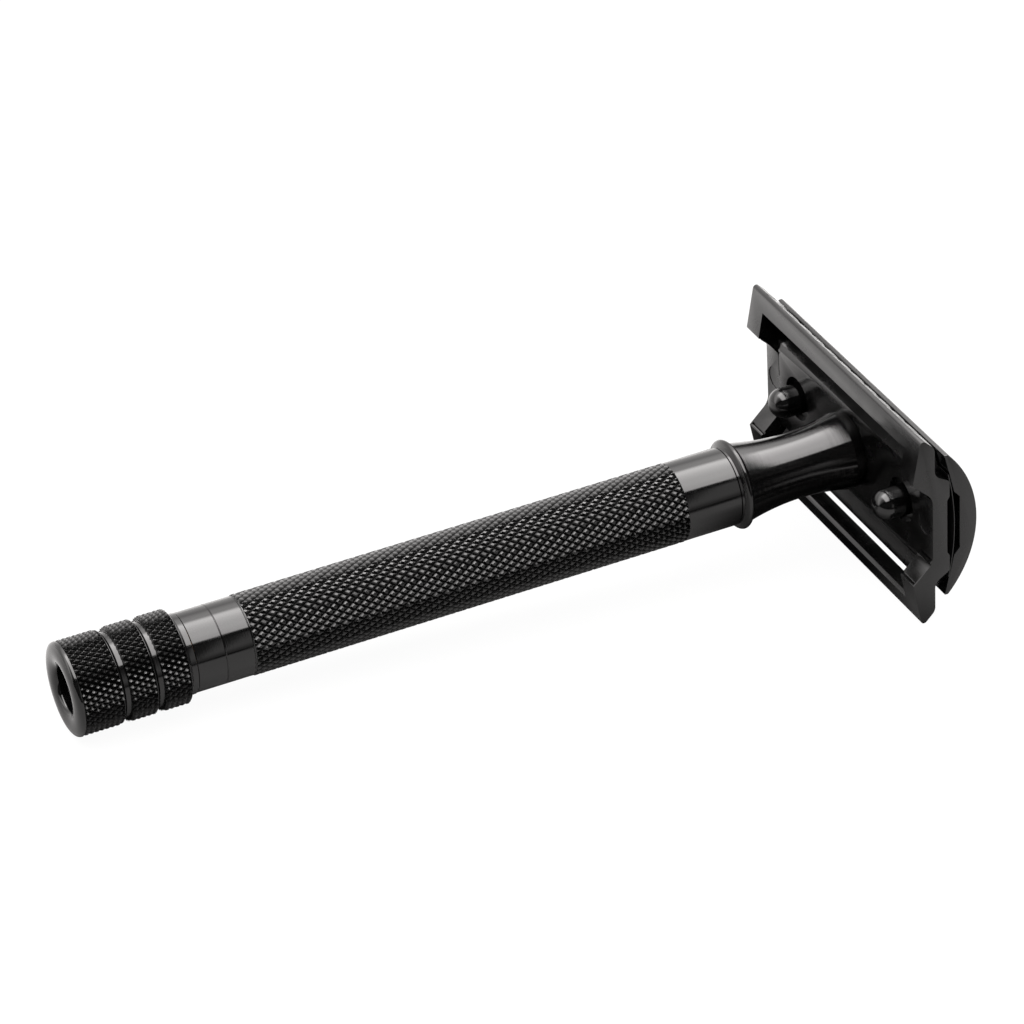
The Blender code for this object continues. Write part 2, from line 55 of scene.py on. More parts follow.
# Handle, mm
COLLAR_RADIUS = 4.97
BAND_RADIUS = 4.92
HANDLE_BORE = 3.9
HANDLE_END = 72.0
WASHER_TOP = 0.1  # the recess under the tube that the thrust washer runs in
BAND_BOTTOM = 0.04  # the parting line is open from here down to the knob's collar
COLLAR_TOP = -0.03
KNURL_START = 7.4
KNURL_END = 64.8
KNURL_CORE = 4.6
HANDLE_KNURL = {"tip": 5.02, "root": 4.79, "starts": (31, 35), "per_mm": (0.5935, 0.767)}
HANDLE_DIAMOND = ((0, 0), (0.16, 0.5), (0.32, 1), (0.68, 1), (0.84, 0.5))
BAND_LINES = (3.7, 7.25)
BAND_LINE_DEPTH = 0.09
HANDLE_SLEEVE_SINK = 0.1  # how far the knurled sleeve reaches into the tube below it

# Neck, mm
BEAD_RADIUS = 5.72
BEAD_GROOVE_RADIUS = 4.93
BEAD_LEVELS = (0.27, 0.72, 1.12, 1.57)  # above the foot: groove end, crest start and end, bead end
BEAD_ROUND = 0.42
NECK_FOOT_RADIUS = 5.1
WAIST = (4.15, 81.5)
NECK_HEAD = (4.95, 88.0)
NECK_TOP_RADIUS = 4.75
NECK_TOP_DROP = 0.1  # the neck's spigot ends this far below the top of the plate
NECK_SPIGOT_RADIUS = 3.8
NECK_SPIGOT_LENGTH = 5.5
NECK_BORE = 3.3
NECK_BORE_END = 87.4
STUD_CLEARANCE_BORE = 2.6
PLATE_SPIGOT_RADIUS = 3.5
NECK_RECESS_RADIUS = 5.05
NECK_RECESS_DEPTH = 0.1

# Head, mm: heights are above the flat underside of the base plate
PLATE_SEAT = 89.35
PLATE_THICKNESS = 1.95
PLATE_HALF_LENGTH = 21.4
RIDGE_HEIGHT = 2.28
RIDGE_FOOT = 3.75
RIDGE_CREST = (4.25, 6.5)
LEDGE_START = 7.7
LEDGE_HEIGHT = 0.25
GUARD_TOP = (11.8, 0.25)
GUARD_TIP = (13.6, -1.6)
GUARD_HEEL = (7.3, -2.8)
WEB_ROOT = 4.66
WEB_STEP = 0.03
WEB_RIM = 0.25  # what the grooves leave standing at the plate's ends
WEB_GROOVES = (
    ((4.3, -0.4), (4.3, 0.3), (4.75, 0.3), (5.0, -0.9)),
    ((6.75, -3.2), (6.95, -2.15), (7.2, -2.3), (7.15, -3.2)),
)
SLOT_INNER = 6.15
SLOT_OUTER = 10.5
SLOT_CHAMFER = ((10.5, -1.75), (11.1, -2.45))
SLOT_HALF_LENGTH = 18.2
SCALLOPS = 11
SCALLOP_PITCH = 3.36
SCALLOP_DEPTH = 0.6
SCALLOP_CUT = 1.5  # how far the cutter reaches above the ribs
SCALLOP_HALF_CUT = 3.0  # and to each side of their middle
PIN_REACH = 26.9 / 2
PIN_RADIUS = 2.0
PIN_HOLE_RADIUS = 2.06
PIN_BALL_DROP = 1.9
PIN_POCKET_RADIUS = 2.9
PIN_POCKET_DEPTH = 1.0
END_MARK = 19.4
END_MARK_RADIUS = 1.5
END_MARK_DEPTH = 0.06
PLATE_BEVEL = 0.09
CAP_HALF_LENGTH = 21.2
CAP_HALF_WIDTH = 10.12
CAP_CREST = 6.17
CAP_CROWN_RADIUS = 14.86
CAP_RECESS = 3.8
CAP_RECESS_HALF_WIDTH = 3.65
CAP_HOLLOW = (4.55, 3.02)
CAP_RIM = 1.55
CAP_RIM_INNER = 9.75
CAP_RIM_RISE = 0.25
CAP_BEVEL = 0.12
STUD_TIP = 2.42
STUD_ROOT = 2.05
STUD_PITCH = 0.8
STUD_BOTTOM = 80.5
STUD_LEAD_IN = 0.6
STUD_PLAIN_NECK = 1.5
STUD_CREST_FLAT = 1.2  # above 1, this cuts the thread's crests off flat

# Knob, mm
KNOB_RADIUS = 5.85
KNOB_CORE = 5.42
KNOB_SLEEVE_SINK = 0.2
KNOB_END = -15.5
KNOB_RIM = -14.73
KNOB_BORE = 2.94
KNOB_COLLAR_RADIUS = 5.0
KNOB_BANDS = ((-14.6, -9.7), (-8.65, -5.5), (-4.45, -1.2))
KNOB_GROOVES = ((-9.3, -8.65), (-5.1, -4.45))
KNOB_GROOVE_RADIUS = 5.3
KNOB_KNURL = {"tip": 5.87, "root": 5.5, "starts": (44, 46), "per_mm": (0.79, 0.74)}
KNOB_DIAMOND = ((0, 0), (0.22, 0.45), (0.44, 0.95), (0.56, 0.95), (0.78, 0.45))
KNOB_COLLAR_Z = -0.75
SCREW_SEAT = -8.6
SCREW_WEB_TOP = -7.55
SCREW_CLEARANCE = 1.61
ROD_CLEARANCE = 2.6
WASHER_SEAT = -0.95
WASHER_CLEARANCE = 4.65

# Knurl
KNURL_CROWN = 0.03  # the share of a diamond's height that only its middle reaches
KNURL_INNER_POINTS = 96
KNURL_OVERLAP = 3  # extra diamonds past each end, so that the cut ends are whole

# Materials: noise scales are per metre
PLATING_IOR = 1.5
PLATING_BLOTCHES = 260
PLATING_GRAIN = 1400
PLATING_LINES = 9000
PLATING_LINE_DEPTH = 0.00002  # metres
GROOVE_PAINTED_SHADE = (0.04, 0.5)  # painted shade: specular level at the root and at the tip of a knurl, so that its grooves reflect less
ALONG_BLADE_SCALE = (1, 0.02, 1)
METAL_STREAKS = 7000
METAL_GRAIN = 900

# The studio, in metres. The floor is one thing in reflections and another to the camera.
FLOOR_SIZE = 6.0
FLOOR_GREY = 0.23  # the table in reflections, next to the razor
FLOOR_BACK_PAINTED_LIGHT = 0.14  # painted light: added behind the razor, in reflections
FLOOR_FRONT_GREY = 0.01
FLOOR_ROUGHNESS = 0.9
FLOOR_SEEN = 0.03  # what the camera sees: nearly all glow, so the razor's shadow stays faint
FLOOR_GLOW = 0.95
FLOOR_FRONT_FADE = (-0.14, -0.06)  # in reflections the floor darkens to nearly black over this span, in front of the razor
PAINTED_LIGHT_BEHIND = (0.0, 0.06)
HEAD_SHADE_CENTRE = (0.047, 0.006, 0)  # painted shadow: in reflections the floor is dark under the head
HEAD_SHADE_SQUEEZE = (1.0, 0.62, 1.0)
HEAD_SHADE = (0.010, 0.026, 0.05, 1.0)

# The light: a direction's place on a ceiling one unit up, across to the right and away from the
# viewer. Four numbers are a ramp: from, to, level before, level after.
LOWEST = 0.02  # keeps directions at the horizon finite
SOFTBOX = 7.2
SOFTBOX_NEAR = (-0.76, -0.70)
SOFTBOX_FAR = (0.42, 0.70, 1.0, 0.0)
SOFTBOX_LEFT = (-0.8, -0.65)
SOFTBOX_RIGHT = (0.72, 0.9, 1.0, 0.0)
GLOW_FAR = (0.5, 1.8, 2.4, 0.0)
GLOW_NEAR = (-0.2, 0.4)
SURROUND = 0.85
DARK_BAND_NEAR = (-1.15, -0.9, 1.0, 0.08)
DARK_BAND_FAR = (-0.6, -0.3)
DARK_PATCH = 0.9
DARK_PATCH_AWAY = (-0.7, -0.5, 1.0, 0.0)
DARK_PATCH_ACROSS = (0.3, 0.66, 1.0, 0.0)
HORIZON = (0.0, 0.25, 0.35, 1.0)
HORIZON_BACK = (0.0, 0.3, 0.0, 1.6)
LIGHT_COLOUR = (1.0, 0.975, 0.965)

# The camera: the point it aims at is in the upright drawing, in mm; angles are in degrees
CAMERA_AIM = (-7.06, -1.9, 42.53)
CAMERA_AZIMUTH = 25.57
CAMERA_DOWN = 31.65
CAMERA_ROLL = 0.66
CAMERA_DISTANCE = 0.556
CAMERA_LENS = 162.8
CAMERA_SENSOR = 36


def upright_frame():
    """The matrix from the upright drawing, in mm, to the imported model: Z is the knob's axis."""
    turn = next(joint for joint in frame["joints"] if joint["name"] == "knob_turn")
    up = -Vector(turn["axis"]).normalized()
    along = Vector((0, 1, 0))
    axes = Matrix((along.cross(up), along, up)).transposed().to_4x4()
    return Matrix.Translation(turn["pos_m"]) @ axes @ Matrix.Scale(MM, 4)


UPRIGHT = upright_frame()
AXIS = (UPRIGHT.to_3x3() @ Vector((0, 0, 1))).normalized()


# Meshes


def add_piece(name, mesh, material=None):
    obj = bpy.data.objects.new(name, mesh)
    bpy.context.scene.collection.objects.link(obj)
    if material:
        mesh.materials.append(material)
    return obj


def into_mesh(name, shape):
    mesh = bpy.data.meshes.new(name)
    shape.to_mesh(mesh)
    shape.free()
    return mesh


def closed_mesh(name, shape):
    """A closed shape as a mesh, with its faces turned outwards."""
    bmesh.ops.recalc_face_normals(shape, faces=shape.faces)
    return into_mesh(name, shape)


def finish_mesh(obj, sharp=32):
    """Takes an upright drawing in mm to its place, with its modifiers applied and its edges shaded."""
    graph = bpy.context.evaluated_depsgraph_get()
    mesh = bpy.data.meshes.new_from_object(obj.evaluated_get(graph))
    mesh.transform(UPRIGHT @ obj.matrix_world)
    obj.modifiers.clear()
    obj.data = mesh
    obj.matrix_world = Matrix.Identity(4)
    mesh.shade_smooth()
    mesh.set_sharp_from_angle(angle=radians(sharp))
    return obj


def rounded(corners, steps=5, closed=False):
    """The outline through corners (u, v, radius), each corner with a radius turned into an arc."""
    points = []
    count = len(corners)
    for i, (u, v, radius) in enumerate(corners):
        corner = Vector((u, v))
        if not radius or (not closed and i in (0, count - 1)):
            points.append((u, v))
            continue
        back = (Vector(corners[i - 1][:2]) - corner).normalized()
        ahead = (Vector(corners[(i + 1) % count][:2]) - corner).normalized()
        half = back.angle(ahead) / 2
        centre = corner + (back + ahead).normalized() * radius / sin(half)
        start = corner + back * radius / tan(half) - centre
        turn = start.angle_signed(corner + ahead * radius / tan(half) - centre)
        for step in range(steps + 1):
            spoke = start.copy()
            spoke.rotate(Matrix.Rotation(-turn * step / steps, 2))
            points.append(tuple(centre + spoke))
    return points


def both_sides(half):
    return half + [(-u, v) for u, v in reversed(half) if u > 1e-6]


def turned(name, profile, material, segments=160, centre=(0, 0), sharp=32):
    """A closed profile (radius, z) turned about Z. A point on the axis becomes a pole."""
    shape = bmesh.new()
    rings = []
    for radius, z in profile:
        if radius < 1e-6:
            rings.append([shape.verts.new((centre[0], centre[1], z))] * segments)
            continue
        ring = []
        for i in range(segments):
            angle = 2 * pi * i / segments
            x, y = centre[0] + radius * cos(angle), centre[1] + radius * sin(angle)
            ring.append(shape.verts.new((x, y, z)))
        rings.append(ring)
    for first, second in zip(rings, rings[1:] + rings[:1]):
        for i in range(segments):
            j = (i + 1) % segments
            corners = list(dict.fromkeys((first[i], second[i], second[j], first[j])))
            if len(corners) > 2:
                shape.faces.new(corners)
    return finish_mesh(add_piece(name, closed_mesh(name, shape), material), sharp)


def prism(name, outline, half_length, turn=None, centre=(0, 0, 0)):
    """A flat outline extruded both ways. By default it lies in X and Z, and its length along Y."""
    shape = bmesh.new()
    turn = turn or Matrix.Rotation(pi / 2, 3, "X")
    sides = []
    for end in (-half_length, half_length):
        sides.append([shape.verts.new(turn @ Vector((u, v, end)) + Vector(centre)) for u, v in outline])
    for side in sides:
        shape.faces.new(side)
    count = len(outline)
    for i in range(count):
        j = (i + 1) % count
        shape.faces.new((sides[0][i], sides[0][j], sides[1][j], sides[1][i]))
    return add_piece(name, closed_mesh(name, shape))


def drill(name, radius, bottom, top, y=0.0):
    """A cutter along Z."""
    shape = bmesh.new()
    place = Matrix.Translation((0, y, (bottom + top) / 2))
    size = {"radius1": radius, "radius2": radius, "depth": top - bottom}
    bmesh.ops.create_cone(shape, cap_ends=True, segments=DRILL_SIDES, matrix=place, **size)
    return add_piece(name, into_mesh(name, shape))


def cut(obj, *tools):
    """Cuts the tools away and removes them, so that none is left in the scene."""
    for tool in tools:
        boolean = obj.modifiers.new(tool.name, "BOOLEAN")
        boolean.solver = "EXACT"
        boolean.object = tool
    graph = bpy.context.evaluated_depsgraph_get()
    mesh = bpy.data.meshes.new_from_object(obj.evaluated_get(graph))
    obj.modifiers.clear()
    obj.data = mesh
    for tool in tools:
        bpy.data.objects.remove(tool)


def bevel(obj, width):
    """Rounds the edges that turn by more than 35 degrees."""
    modifier = obj.modifiers.new("edges", "BEVEL")
    modifier.width = width
    modifier.segments = 3
    modifier.limit_method = "ANGLE"
    modifier.angle_limit = radians(35)
    modifier.use_clamp_overlap = True


def zip_loops(shape, first, second):
    """Joins two rings of points about Z with triangles, going round both in step with their angles."""
    rings = [sorted(ring, key=lambda vert: atan2(vert.co.y, vert.co.x)) for ring in (first, second)]
    angles = [[atan2(vert.co.y, vert.co.x) for vert in ring] for ring in rings]
    at = [0, 0]
    while at[0] < len(rings[0]) or at[1] < len(rings[1]):
        ahead = [angles[k][at[k]] if at[k] < len(rings[k]) else pi + 1 for k in (0, 1)]
        step = 0 if ahead[0] <= ahead[1] else 1
        here = rings[step][at[step] - 1]
        there = rings[step][at[step]]
        other = rings[1 - step][at[1 - step] - 1]
        shape.faces.new((here, there, other))
        at[step] += 1


def knurled_sleeve(name, bottom, top, knurl, diamond, core, material):
    """A sleeve covered with diamonds between two crossing sets of helical grooves.

    A point's place is (u, v), which counts the grooves of each set that lie behind it, so a groove
    is a whole number and a diamond one square. Both follow from the height and the angle. The
    diamond's (stop, level) pairs say how high the surface stands at its stops across the square.
    """
    first, second = knurl["starts"]
    rise_1, rise_2 = knurl["per_mm"]
    stops, levels = zip(*diamond)
    count = len(stops)
    depth = knurl["tip"] - knurl["root"]
    shape = bmesh.new()
    verts = {}

    def place(i, j):
        u = i // count + stops[i % count]
        v = j // count + stops[j % count]
        z = bottom + (second * u + first * v) / (second * rise_1 + first * rise_2)
        turns = (rise_2 * u - rise_1 * v) / (first * rise_2 + second * rise_1)
        return z, turns * 2 * pi

    def vert(i, j):
        around = i // (first * count)
        key = (i - around * first * count, j + around * second * count)
        if key not in verts:
            z, angle = place(*key)
            height = min(levels[key[0] % count], levels[key[1] % count])
            crown = KNURL_CROWN * levels[key[0] % count] * levels[key[1] % count]
            radius = knurl["root"] + depth * (height * (1 - KNURL_CROWN) + crown)
            verts[key] = shape.verts.new((radius * cos(angle), radius * sin(angle), z))
        return verts[key]

    reach = top - bottom
    for i in range(first * count):
        z_here = place(i, 0)[0] - bottom
        per_step = first / (second * rise_1 + first * rise_2) / count
        low = int((-z_here) / per_step) - KNURL_OVERLAP * count
        high = int((reach - z_here) / per_step) + KNURL_OVERLAP * count
        for j in range(low, high):
            corners = (vert(i, j), vert(i + 1, j), vert(i + 1, j + 1), vert(i, j + 1))
            shape.faces.new(corners)
    for level, side in ((bottom, -1), (top, 1)):
        geometry = shape.verts[:] + shape.edges[:] + shape.faces[:]
        normal = (0, 0, side)
        plane = {"plane_co": (0, 0, level), "plane_no": normal}
        bmesh.ops.bisect_plane(shape, geom=geometry, dist=1e-5, clear_outer=True, **plane)
    inner_rings = []
    for level in (bottom, top):
        ends = {v for edge in shape.edges if edge.is_boundary for v in edge.verts}
        rim = [v for v in ends if abs(v.co.z - level) < 1e-3]
        inner = []
        for i in range(KNURL_INNER_POINTS):
            angle = 2 * pi * i / KNURL_INNER_POINTS
            inner.append(shape.verts.new((core * cos(angle), core * sin(angle), level)))
        zip_loops(shape, rim, inner)
        inner_rings.append(inner)
    zip_loops(shape, *inner_rings)
    return finish_mesh(add_piece(name, closed_mesh(name, shape), material), sharp=22)


# Materials


class Nodes:
    """A material's node tree, written as short sums."""

    def __init__(self, tree):
        self.tree = tree

    def add(self, kind, **settings):
        node = self.tree.nodes.new(kind)
        for name, value in settings.items():
            setattr(node, name, value)
        return node

    def wire(self, source, target):
        if isinstance(source, bpy.types.NodeSocket):
            self.tree.links.new(source, target)
        else:
            target.default_value = source

    def math(self, operation, *values):
        node = self.add("ShaderNodeMath", operation=operation)
        for value, socket in zip(values, node.inputs):
            self.wire(value, socket)
        return node.outputs[0]

    def ramp(self, value, low, high, out_low=0.0, out_high=1.0):
        node = self.add("ShaderNodeMapRange", interpolation_type="SMOOTHSTEP")
        for source, name in ((value, "Value"), (low, "From Min"), (high, "From Max")):
            self.wire(source, node.inputs[name])
        self.wire(out_low, node.inputs["To Min"])
        self.wire(out_high, node.inputs["To Max"])
        return node.outputs["Result"]

    def noise(self, vector, scale, detail):
        node = self.add("ShaderNodeTexNoise")
        self.wire(vector, node.inputs["Vector"])
        node.inputs["Scale"].default_value = scale
        node.inputs["Detail"].default_value = detail
        return node.outputs["Fac"]


def new_material(name, colour, metallic, roughness):
    material = bpy.data.materials.new(name)
    material.use_nodes = True
    shader = material.node_tree.nodes["Principled BSDF"]
    shader.inputs["Base Color"].default_value = (*colour, 1)
    shader.inputs["Metallic"].default_value = metallic
    shader.inputs["Roughness"].default_value = roughness
    material.diffuse_color = (*colour, 1)
    return material, Nodes(material.node_tree), shader


def along_handle(nodes):
    """Object coordinates, and the same flattened onto the handle's axis.

    Noise on the second runs in rings round the handle, as a lathe leaves it.
    """
    coordinates = nodes.add("ShaderNodeTexCoord")
    along = nodes.add("ShaderNodeVectorMath", operation="DOT_PRODUCT")
    nodes.wire(coordinates.outputs["Object"], along.inputs[0])
    along.inputs[1].default_value = AXIS
    combined = nodes.add("ShaderNodeCombineXYZ")
    nodes.wire(along.outputs["Value"], combined.inputs["X"])
    return coordinates.outputs["Object"], combined.outputs[0]


def brushed_along(nodes, place):
    """Object coordinates squeezed along the blade, so that noise runs in lines along the head."""
    mapping = nodes.add("ShaderNodeMapping")
    nodes.wire(place, mapping.inputs["Vector"])
    mapping.inputs["Scale"].default_value = ALONG_BLADE_SCALE
    return mapping.outputs[0]


def from_axis(nodes, place):
    """How far a point lies from the handle's axis."""
    arm = nodes.add("ShaderNodeVectorMath", operation="SUBTRACT")
    nodes.wire(place, arm.inputs[0])
    arm.inputs[1].default_value = UPRIGHT.translation
    cross = nodes.add("ShaderNodeVectorMath", operation="CROSS_PRODUCT")
    nodes.wire(arm.outputs[0], cross.inputs[0])
    cross.inputs[1].default_value = AXIS
    length = nodes.add("ShaderNodeVectorMath", operation="LENGTH")
    nodes.wire(cross.outputs[0], length.inputs[0])
    return length.outputs["Value"]


def black_plating(name, roughness, lathe=0.0, brushed=0.0, knurl=None, base=0.0012):
    """Gloss black plating: a dark body under a clear reflection, a little uneven.

    It shows faint lines: rings round the handle where lathe is set, or lines along the head where
    brushed is set. Down in the grooves of a knurl its reflection is turned down, as painted shade.
    """
    colour = (base, base, base * 1.05)
    material, nodes, shader = new_material(name, colour, 0.0, roughness)
    shader.inputs["IOR"].default_value = PLATING_IOR
    place, rings = along_handle(nodes)
    blotches = nodes.noise(place, PLATING_BLOTCHES, 3)
    uneven = nodes.ramp(blotches, 0.3, 0.75, roughness * 0.8, roughness * 1.5)
    nodes.wire(uneven, shader.inputs["Roughness"])
    tone = nodes.add("ShaderNodeMix", data_type="RGBA")
    nodes.wire(nodes.noise(place, PLATING_GRAIN, 3), tone.inputs["Factor"])
    tone.inputs["A"].default_value = (base * 0.7, base * 0.7, base * 0.72, 1)
    tone.inputs["B"].default_value = (base * 1.4, base * 1.38, base * 1.4, 1)
    nodes.wire(tone.outputs["Result"], shader.inputs["Base Color"])
    if knurl:
        # painted shade: the reflection is turned down towards the roots of the knurl's grooves
        root, tip = knurl["root"] * MM, knurl["tip"] * MM
        groove_shade = nodes.ramp(from_axis(nodes, place), root, tip, *GROOVE_PAINTED_SHADE)
        nodes.wire(groove_shade, shader.inputs["Specular IOR Level"])
    if lathe or brushed:
        lines = rings if lathe else brushed_along(nodes, place)
        bump = nodes.add("ShaderNodeBump")
        bump.inputs["Strength"].default_value = lathe or brushed
        bump.inputs["Distance"].default_value = PLATING_LINE_DEPTH
        nodes.wire(nodes.noise(lines, PLATING_LINES, 2), bump.inputs["Height"])
        nodes.wire(bump.outputs[0], shader.inputs["Normal"])
    return material


def bare_metal(name, colour, roughness):
    """Steel, brass or bronze, with a slightly uneven polish."""
    material, nodes, shader = new_material(name, colour, 1.0, roughness)
    place, rings = along_handle(nodes)
    streaks = nodes.noise(rings, METAL_STREAKS, 3)
    uneven = nodes.ramp(streaks, 0.25, 0.8, roughness * 0.7, roughness * 1.6)
    nodes.wire(uneven, shader.inputs["Roughness"])
    tone = nodes.add("ShaderNodeMix", data_type="RGBA")
    nodes.wire(nodes.noise(place, METAL_GRAIN, 3), tone.inputs["Factor"])
    tone.inputs["A"].default_value = (*(c * 0.8 for c in colour), 1)
    tone.inputs["B"].default_value = (*(min(1, c * 1.15) for c in colour), 1)
    nodes.wire(tone.outputs["Result"], shader.inputs["Base Color"])
    return material


# The handle


def make_handle_bands(material):
    """The tube with its plain bands. It steps down under the knurl, which is a sleeve of its own."""
    corners = [
        (HANDLE_BORE, WASHER_TOP, 0.1),
        (WASHER_CLEARANCE, WASHER_TOP, 0),
        (WASHER_CLEARANCE, BAND_BOTTOM, 0),
        (BAND_RADIUS, BAND_BOTTOM, 0.07),
    ]
    for z in BAND_LINES:
        corners += [
            (BAND_RADIUS, z - BAND_LINE_DEPTH, 0.04),
            (BAND_RADIUS - BAND_LINE_DEPTH, z, 0.03),
            (BAND_RADIUS, z + BAND_LINE_DEPTH, 0.04),
        ]
    corners += [
        (BAND_RADIUS, KNURL_START + 0.05, 0.03),
        (KNURL_CORE + HANDLE_SLEEVE_SINK, KNURL_START + 0.06, 0),
        (KNURL_CORE + HANDLE_SLEEVE_SINK, KNURL_END - 0.06, 0),
        (COLLAR_RADIUS, KNURL_END - 0.05, 0.05),
        (COLLAR_RADIUS, HANDLE_END, 0.15),
        (HANDLE_BORE, HANDLE_END, 0.1),
    ]
    return turned("handle_bands", rounded(corners, closed=True), material, segments=192)


def arc_to(start, waist):
    """Points on the arc that leaves start and arrives upright at waist; both are (radius, z)."""
    rise, reach = start[1] - waist[1], start[0] - waist[0]
    radius = (rise * rise + reach * reach) / (2 * reach)
    steps = 20
    points = []
    for i in range(steps):
        height = rise * (1 - i / steps)
        points.append((waist[0] + radius - sqrt(radius**2 - height**2), waist[1] + height))
    return points


def make_neck(material):
    """The trumpet and its bead, with a spigot at each end and the bore that the nut runs in."""
    foot = HANDLE_END + FIT
    top = PLATE_SEAT + NECK_RECESS_DEPTH - FIT
    spigot_top = PLATE_SEAT + PLATE_THICKNESS - NECK_TOP_DROP
    groove_end, crest_start, crest_end, bead_end = [foot + level for level in BEAD_LEVELS]
    bead = rounded(
        [
            (NECK_FOOT_RADIUS, bead_end, 0),
            (BEAD_RADIUS, crest_end, BEAD_ROUND),
            (BEAD_RADIUS, crest_start, BEAD_ROUND),
            (BEAD_GROOVE_RADIUS, groove_end, 0),
        ],
        steps=8,
    )
    profile = [(PLATE_SPIGOT_RADIUS, spigot_top), (PLATE_SPIGOT_RADIUS, top), (NECK_TOP_RADIUS, top)]
    profile += arc_to(NECK_HEAD, WAIST) + [WAIST]
    profile += list(reversed(arc_to((NECK_FOOT_RADIUS, bead_end), WAIST)))
    profile += bead[1:]
    profile += [
        (BEAD_GROOVE_RADIUS, foot),
        (NECK_SPIGOT_RADIUS, foot),
        (NECK_SPIGOT_RADIUS, foot - NECK_SPIGOT_LENGTH),
        (NECK_BORE, foot - NECK_SPIGOT_LENGTH),
        (NECK_BORE, NECK_BORE_END),
        (STUD_CLEARANCE_BORE, NECK_BORE_END),
        (STUD_CLEARANCE_BORE, spigot_top),
    ]
    return turned("neck_trumpet", profile, material, segments=192, sharp=18)


# The knob


def make_knob_body(material):
    """The rounded end, the plain grooves, the chamfers and the collar. The knurled bands sit on it."""
    crest = (KNOB_RADIUS + KNOB_BORE) / 2
    half_width = (KNOB_RADIUS - KNOB_BORE) / 2
    corners = [
        (WASHER_CLEARANCE, COLLAR_TOP, 0.03),
        (WASHER_CLEARANCE, WASHER_SEAT, 0),
        (ROD_CLEARANCE, WASHER_SEAT, 0),
        (ROD_CLEARANCE, SCREW_WEB_TOP, 0),
        (SCREW_CLEARANCE, SCREW_WEB_TOP, 0),
        (SCREW_CLEARANCE, SCREW_SEAT, 0),
        (KNOB_BORE, SCREW_SEAT, 0),
    ]
    profile = rounded(corners)
    steps = 28
    for i in range(steps + 1):
        angle = pi * (1 - i / steps)
        profile.append((crest + half_width * cos(angle), KNOB_RIM + (KNOB_END - KNOB_RIM) * sin(angle)))
    outer = [(KNOB_RADIUS, KNOB_RIM, 0), (KNOB_RADIUS, KNOB_BANDS[0][0] - 0.02, 0.03)]
    for (bottom, top), (start, end) in zip(KNOB_BANDS, (*KNOB_GROOVES, (KNOB_COLLAR_Z, None))):
        chamfer_foot = KNOB_COLLAR_RADIUS + 0.03 if end is None else KNOB_GROOVE_RADIUS + 0.05
        outer += [
            (KNOB_CORE, bottom + 0.02, 0),
            (KNOB_CORE, top - 0.02, 0),
            (KNOB_RADIUS - 0.05, top, 0.04),
            (chamfer_foot, start, 0.05),
        ]
        if end is not None:
            outer += [
                (KNOB_GROOVE_RADIUS, start + 0.02, 0),
                (KNOB_GROOVE_RADIUS, end - 0.01, 0),
            ]
    outer += [
        (KNOB_COLLAR_RADIUS, KNOB_COLLAR_Z + 0.03, 0),
        (KNOB_COLLAR_RADIUS, COLLAR_TOP, 0.07),
        (WASHER_CLEARANCE, COLLAR_TOP, 0),
    ]
    profile += rounded(outer)[1:-1]
    return turned("knob_body", profile, material, segments=192)


# The head


def plate_outline():
    """The plate from its top, over the ridge and the ledge, round the guard and back below."""
    half = [
        (0, PLATE_THICKNESS, 0),
        (RIDGE_FOOT, PLATE_THICKNESS, 0.15),
        (RIDGE_CREST[0], RIDGE_HEIGHT, 0.3),
        (RIDGE_CREST[1], RIDGE_HEIGHT, 0.5),
        (LEDGE_START, LEDGE_HEIGHT, 1.4),
        (*GUARD_TOP, 1.4),
        (*GUARD_TIP, 0.45),
        (*GUARD_HEEL, 0.2),
        (WEB_ROOT, -WEB_STEP, 2.3),
        (0, -WEB_STEP, 0),
    ]
    return both_sides([(u, PLATE_SEAT + v) for u, v in rounded(half, steps=8)])


def scallop_outline():
    """What the ribs on the guard leave between them: a row of convex arcs below a straight top."""
    radius = (SCALLOP_PITCH**2 / 4 + SCALLOP_DEPTH**2) / (2 * SCALLOP_DEPTH)
    start = -SCALLOPS * SCALLOP_PITCH / 2
    steps = 16
    points = []
    for i in range(SCALLOPS * steps + 1):
        from_middle = SCALLOP_PITCH * (i % steps / steps - 0.5)
        points.append((start + i * SCALLOP_PITCH / steps, sqrt(radius**2 - from_middle**2) - radius))
    return points + [(-start, SCALLOP_CUT), (start, SCALLOP_CUT)]


